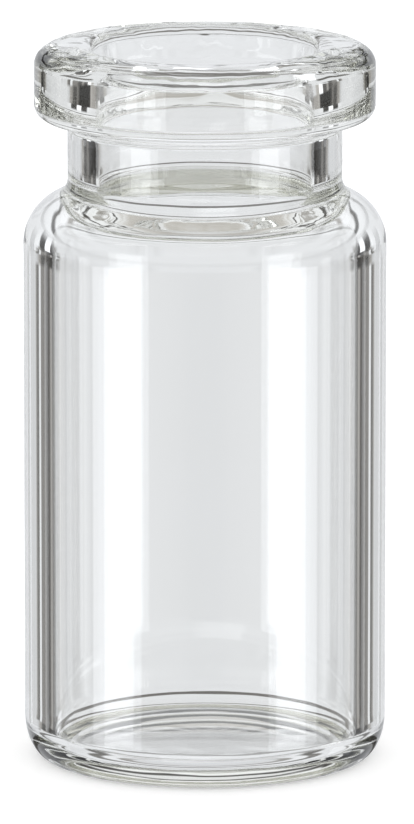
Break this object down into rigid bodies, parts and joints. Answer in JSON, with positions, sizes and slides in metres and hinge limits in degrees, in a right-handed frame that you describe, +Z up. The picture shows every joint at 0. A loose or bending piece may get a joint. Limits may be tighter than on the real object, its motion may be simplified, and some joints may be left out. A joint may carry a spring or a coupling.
{
  "type": "glass sample vial",
  "caption": "Small round clear glass bottle with a straight body, rounded shoulder, short neck and a wide flat rim that a crimped seal grips. Open, with no stopper.",
  "frame": {"origin": "centre of the circle that the base stands on", "axes": "+Z up along the vial's axis, towards the mouth"},
  "size_m": [0.0212, 0.0212, 0.0424],
  "materials": {
    "glass": "clear, fire polished"
  },
  "bodies": {
    "root": {"vial": "glass"}
  },
  "joints": []
}
